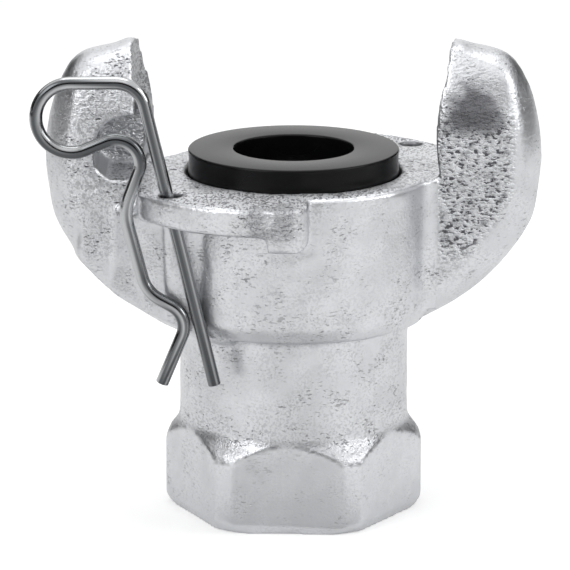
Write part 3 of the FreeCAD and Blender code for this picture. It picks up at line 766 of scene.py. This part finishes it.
class COUPLING_OT_washer(bpy.types.Operator):
    """Make the rubber sealing washer"""

    bl_idname = "coupling.washer"
    bl_label = "Sealing Washer"

    def execute(self, context):
        look = context.scene.coupling_washer
        low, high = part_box("sealing_washer")
        bottom, top = low.z, high.z
        # The side above the face is an arc of radius bow, drawn in by the waist at its middle.
        half = (top - FACE - look.edge) / 2
        bow = (half ** 2 + look.waist ** 2) / (2 * look.waist)
        spread = math.degrees(math.asin(half / bow))
        middle = (look.outer_radius - look.waist + bow, FACE + half)
        profile = np.concatenate([
            [(look.hole_radius, bottom), (look.outer_radius, bottom)],
            arc(middle, bow, 180 + spread, 180 - spread, 12),
            arc((look.outer_radius - look.edge, top - look.edge), look.edge, 0, 90, 6)[1:],
            arc((look.hole_radius + look.edge, top - look.edge), look.edge, 90, 180, 6),
        ])
        around = np.ones((WASHER_ROWS, 1))
        washer = turned_surface("rubber_washer", around * profile[:, 0], around * profile[:, 1])
        rubber, surface = plain_material("black rubber", look.rubber, 0.24, 0.0)
        # Rubber mirrors less than a varnish would.
        surface.inputs["Specular IOR Level"].default_value = 0.14
        washer.data.materials.append(rubber)
        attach(washer, CASTING_BODY)
        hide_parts("sealing_washer")
        return {"FINISHED"}


class COUPLING_OT_thread(bpy.types.Operator):
    """Make the pipe thread inside the socket"""

    bl_idname = "coupling.thread"
    bl_label = "Pipe Thread"

    def execute(self, context):
        look = context.scene.coupling_thread
        levels_per_turn = 14
        levels = int(look.length / look.pitch * levels_per_turn)
        turn = np.arange(THREAD_STEPS)[:, None] / THREAD_STEPS
        level = np.linspace(look.length, THREAD_START, levels)[None, :]
        # A triangle wave that rises by one pitch in a turn, on a cone that narrows upwards.
        wave = 2 / np.pi * np.arcsin(np.sin(2 * np.pi * (level / look.pitch - turn)))
        fade = smooth_step(0, look.pitch, level) * smooth_step(0, look.pitch, look.length - level)
        cone = THREAD_RADIUS + (look.length / 2 - level) * THREAD_TAPER
        inner = cone + look.depth / 2 * wave * fade
        outer = np.full((THREAD_STEPS, 2), THREAD_RADIUS + look.depth / 2 + THREAD_BACK)
        ends = np.broadcast_to([THREAD_START, look.length], (THREAD_STEPS, 2))
        radius = np.concatenate([outer, inner], axis=1)
        height = np.concatenate([ends, np.broadcast_to(level, inner.shape)], axis=1)
        thread = turned_surface("pipe_thread", radius, height)
        thread.data.materials.append(bpy.data.materials[ZINC])
        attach(thread, CASTING_BODY)
        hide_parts("coupling_body")
        return {"FINISHED"}


class COUPLING_OT_clip(bpy.types.Operator):
    """Make the wire clip"""

    bl_idname = "coupling.clip"
    bl_label = "Safety Clip"

    def execute(self, context):
        look = context.scene.coupling_clip
        centre, along = self.path(look)
        rows = centre, along, np.full(len(centre), look.wire / 2)
        rows = self.closed_end(rows, -along[0], look.wire)
        rows = self.closed_end([row[::-1] for row in rows], along[-1], look.wire)
        centre, along, radius = (row[::-1] for row in rows)
        side = np.array([0.0, 1.0, 0.0])
        clip = wire_surface("wire_clip", centre, along, side, radius, WIRE_SIDES)
        steel, surface = plain_material("polished wire", look.steel, 0.17, 1.0)
        tree = steel.node_tree
        # The streaks are a painted dark reflection along the wire.
        streaked = mixed_colour(tree, attribute(tree, "streak"), look.steel, look.streaks)
        tree.links.new(streaked, surface.inputs["Base Color"])
        clip.data.materials.append(steel)
        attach(clip, CLIP_BODY)
        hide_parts("safety_clip")
        return {"FINISHED"}

    def closed_end(self, rows, outwards, wire):
        """Cuts the first end of the wire square and rolls off its rim, in four rows of points."""
        centre, along, radius = rows
        inwards = WIRE_RIM * np.array([[0], [0], [0.3], [1]])
        ring = np.array([0, wire / 2 - WIRE_RIM, wire / 2 - 0.3 * WIRE_RIM, wire / 2])
        return [np.concatenate([centre[0] - outwards * inwards, centre[1:]]),
                np.concatenate([np.repeat(along[:1], 4, axis=0), along[1:]]),
                np.concatenate([ring, radius[1:]])]

    def path(self, look):
        """Points and directions of the wire: straight runs, and bends each tangent to the last."""
        heading = math.pi / 2 + math.atan2(-CLIP_UP.x, CLIP_UP.z)
        point = np.array(CLIP_HOLE - CLIP_UP * look.leg_below)[[0, 2]]
        centre, angles = [point], [heading]
        for run, bend, radius in (*CLIP_BENDS, (CLIP_TAIL, 0, 1)):
            ahead = np.array([math.cos(heading), math.sin(heading)])
            point = point + run * MM * ahead
            turn = math.radians(bend)
            towards = math.copysign(radius * MM, bend) * np.array([-ahead[1], ahead[0]])
            steps = max(int(abs(bend) / 6), 1)
            angle = heading + np.linspace(0, turn, steps + 1)
            normal = np.stack([-np.sin(angle), np.cos(angle)], axis=1)
            arc_points = point + towards - math.copysign(radius * MM, bend) * normal
            centre.extend(arc_points if bend else [point])
            angles.extend(angle if bend else [heading])
            point, heading = arc_points[-1], heading + turn
        flat, angles = np.array(centre), np.array(angles)
        depth = np.full(len(flat), CLIP_HOLE.y)
        centre = np.stack([flat[:, 0], depth, flat[:, 1]], axis=1)
        return centre, np.stack([np.cos(angles), 0 * angles, np.sin(angles)], axis=1)


class COUPLING_OT_stage(bpy.types.Operator):
    """Make the camera, the lamps, the floor and the pale surroundings"""

    bl_idname = "coupling.stage"
    bl_label = "Stage"

    def execute(self, context):
        look = context.scene.coupling_stage
        scene = context.scene
        scene.view_settings.view_transform = "Standard"
        back = Vector((0, -math.cos(look.elevation), math.sin(look.elevation)))
        lens = bpy.data.cameras.new("photo camera")
        camera = bpy.data.objects.new("photo camera", lens)
        scene.collection.objects.link(camera)
        camera.location = PHOTO_MIDDLE + back * look.distance
        camera.rotation_euler = (-back).to_track_quat("-Z", "Y").to_euler()
        lens.sensor_width = 36
        lens.lens = PIXELS_PER_METRE * look.distance * lens.sensor_width / PHOTO_PIXELS
        lens.clip_start = 0.01
        scene.camera = camera
        self.lamps(scene, look)
        self.surroundings(scene)
        self.cards()
        corners = 1.5 * np.array([(-1, -1, 0), (1, -1, 0), (1, 1, 0), (-1, 1, 0)])
        floor = mesh_object("floor", corners, np.array([[0, 1, 2, 3]]))
        self.paint_floor(floor)
        return {"FINISHED"}

    def lamps(self, scene, look):
        """Large soft lamps: left front, right, above, and high in front."""
        for name, place, size, share in [
                ("left lamp", (-0.45, -0.45, 0.45), 0.35, 1.0),
                ("right lamp", (0.5, -0.15, 0.30), 0.30, 0.6),
                ("top lamp", (0.0, 0.15, 0.65), 0.45, 0.9),
                ("front lamp", (0.0, -0.45, 0.55), 0.40, 0.2)]:
            lamp = bpy.data.lights.new(name, "AREA")
            lamp.size = size
            lamp.energy = look.lamp_power * share
            thing = bpy.data.objects.new(name, lamp)
            scene.collection.objects.link(thing)
            thing.location = place
            towards = Vector((0, 0, FACE)) - thing.location
            thing.rotation_euler = towards.to_track_quat("-Z", "Y").to_euler()

    def cards(self):
        """Cards round the table, as a photographer sets them, that only show in the metal.

        They are black, but for a pale grey one that lies right in front of the hexagon. Each one
        faces the middle from its own side, and spans from a near edge to a far one, both given as
        distance and height.
        """
        black, _ = plain_material("black card", (0.01, 0.01, 0.01), 1.0, 0.0)
        grey, _ = plain_material("grey card", (0.82, 0.82, 0.82), 1.0, 0.0)
        upright, lying = ((0.95, 0.04), (0.95, 0.56)), ((0.4, 0.002), (0.94, 0.002))
        for name, paint, turn, width, (near, bottom), (far, top) in [
                ("front card", black, 0, 1.1, (0.95, 0.08), (0.95, 0.50)),
                ("left card", black, -95, 0.8, *upright),
                ("right card", black, 95, 0.8, *upright),
                ("back left card", black, -140, 0.7, *upright),
                ("back right card", black, 140, 0.7, *upright),
                ("left floor card", black, -95, 0.8, *lying),
                ("right floor card", black, 95, 0.8, *lying),
                ("near floor card", grey, 0, 0.04, (0.0166, 0.0004), (0.062, 0.0004))]:
            angle = math.radians(turn)
            outwards = np.array([math.sin(angle), -math.cos(angle), 0])
            across = np.array([math.cos(angle), math.sin(angle), 0]) * width / 2
            low, high = outwards * near + (0, 0, bottom), outwards * far + (0, 0, top)
            corners = np.array([low - across, low + across, high + across, high - across])
            card = mesh_object(name, corners, np.array([[0, 1, 2, 3]]))
            card.data.materials.append(paint)
            card.visible_camera = False
            card.visible_diffuse = False
            card.visible_shadow = False

    def seen(self, tree):
        """1 for rays from the camera, in metal and through glass, and 0 for rays that light."""
        ray = tree.nodes.new("ShaderNodeLightPath").outputs
        direct = math_node(tree, "MAXIMUM", ray["Is Camera Ray"], ray["Is Glossy Ray"])
        return math_node(tree, "MAXIMUM", direct, ray["Is Transmission Ray"])

    def surroundings(self, scene):
        """World that lights softly and looks white to the camera and in the metal."""
        world = bpy.data.worlds.new("pale studio")
        scene.world = world
        world.use_nodes = True
        nodes, links = world.node_tree.nodes, world.node_tree.links
        background = nodes["Background"]
        strength = nodes.new("ShaderNodeMapRange")
        strength.inputs["To Min"].default_value = SKY_LIGHT
        strength.inputs["To Max"].default_value = SKY_SEEN
        links.new(self.seen(world.node_tree), strength.inputs["Value"])
        links.new(strength.outputs["Result"], background.inputs["Strength"])
        background.inputs["Color"].default_value = (1, 1, 1, 1)

    def paint_floor(self, floor):
        """White floor that keeps the coupling's shadow: the camera and the metal see it shine."""
        material, surface = plain_material("pale floor", (0.9, 0.9, 0.9), 0.9, 0.0)
        tree = material.node_tree
        camera_ray = tree.nodes.new("ShaderNodeLightPath").outputs["Is Camera Ray"]
        in_metal = math_node(tree, "MULTIPLY", self.seen(tree), FLOOR_IN_METAL)
        to_camera = math_node(tree, "MULTIPLY", camera_ray, FLOOR_TO_CAMERA)
        shine = math_node(tree, "ADD", in_metal, to_camera)
        tree.links.new(shine, surface.inputs["Emission Strength"])
        surface.inputs["Emission Color"].default_value = (1, 1, 1, 1)
        floor.data.materials.append(material)


class COUPLING_PT_panel(bpy.types.Panel):
    """Coupling panel in the sidebar"""

    bl_label = "Claw Hose Coupling"
    bl_idname = "COUPLING_PT_panel"
    bl_space_type = "VIEW_3D"
    bl_region_type = "UI"
    bl_category = "Coupling"

    def draw(self, context):
        for title, group, operator in PARTS:
            box = self.layout.box()
            box.label(text=title)
            settings = getattr(context.scene, group)
            for key in settings.__annotations__:
                box.prop(settings, key)
            box.operator(operator)


# Title, settings on the scene, and operator of each part, in the order in which they are made.
PARTS = [
    ("Casting", "coupling_casting", "coupling.casting"),
    ("Pipe Thread", "coupling_thread", "coupling.thread"),
    ("Sealing Washer", "coupling_washer", "coupling.washer"),
    ("Safety Clip", "coupling_clip", "coupling.clip"),
    ("Stage", "coupling_stage", "coupling.stage"),
]
SETTINGS = {
    "coupling_casting": CastingLook,
    "coupling_thread": ThreadLook,
    "coupling_washer": WasherLook,
    "coupling_clip": ClipLook,
    "coupling_stage": StageLook,
}
OPERATORS = (COUPLING_OT_casting, COUPLING_OT_thread, COUPLING_OT_washer, COUPLING_OT_clip,
             COUPLING_OT_stage)


def register():
    """Registers the classes and gives the scene their settings."""
    for cls in (*SETTINGS.values(), *OPERATORS, COUPLING_PT_panel):
        bpy.utils.register_class(cls)
    for name, group in SETTINGS.items():
        setattr(bpy.types.Scene, name, PointerProperty(type=group))


def unregister():
    """Takes the settings and the classes away again."""
    for name in SETTINGS:
        delattr(bpy.types.Scene, name)
    for cls in reversed((*SETTINGS.values(), *OPERATORS, COUPLING_PT_panel)):
        bpy.utils.unregister_class(cls)


def main():
    """Makes all parts in order."""
    register()
    for _, _, operator in PARTS:
        family, name = operator.split(".")
        getattr(getattr(bpy.ops, family), name)()


if __name__ == "__main__":
    main()
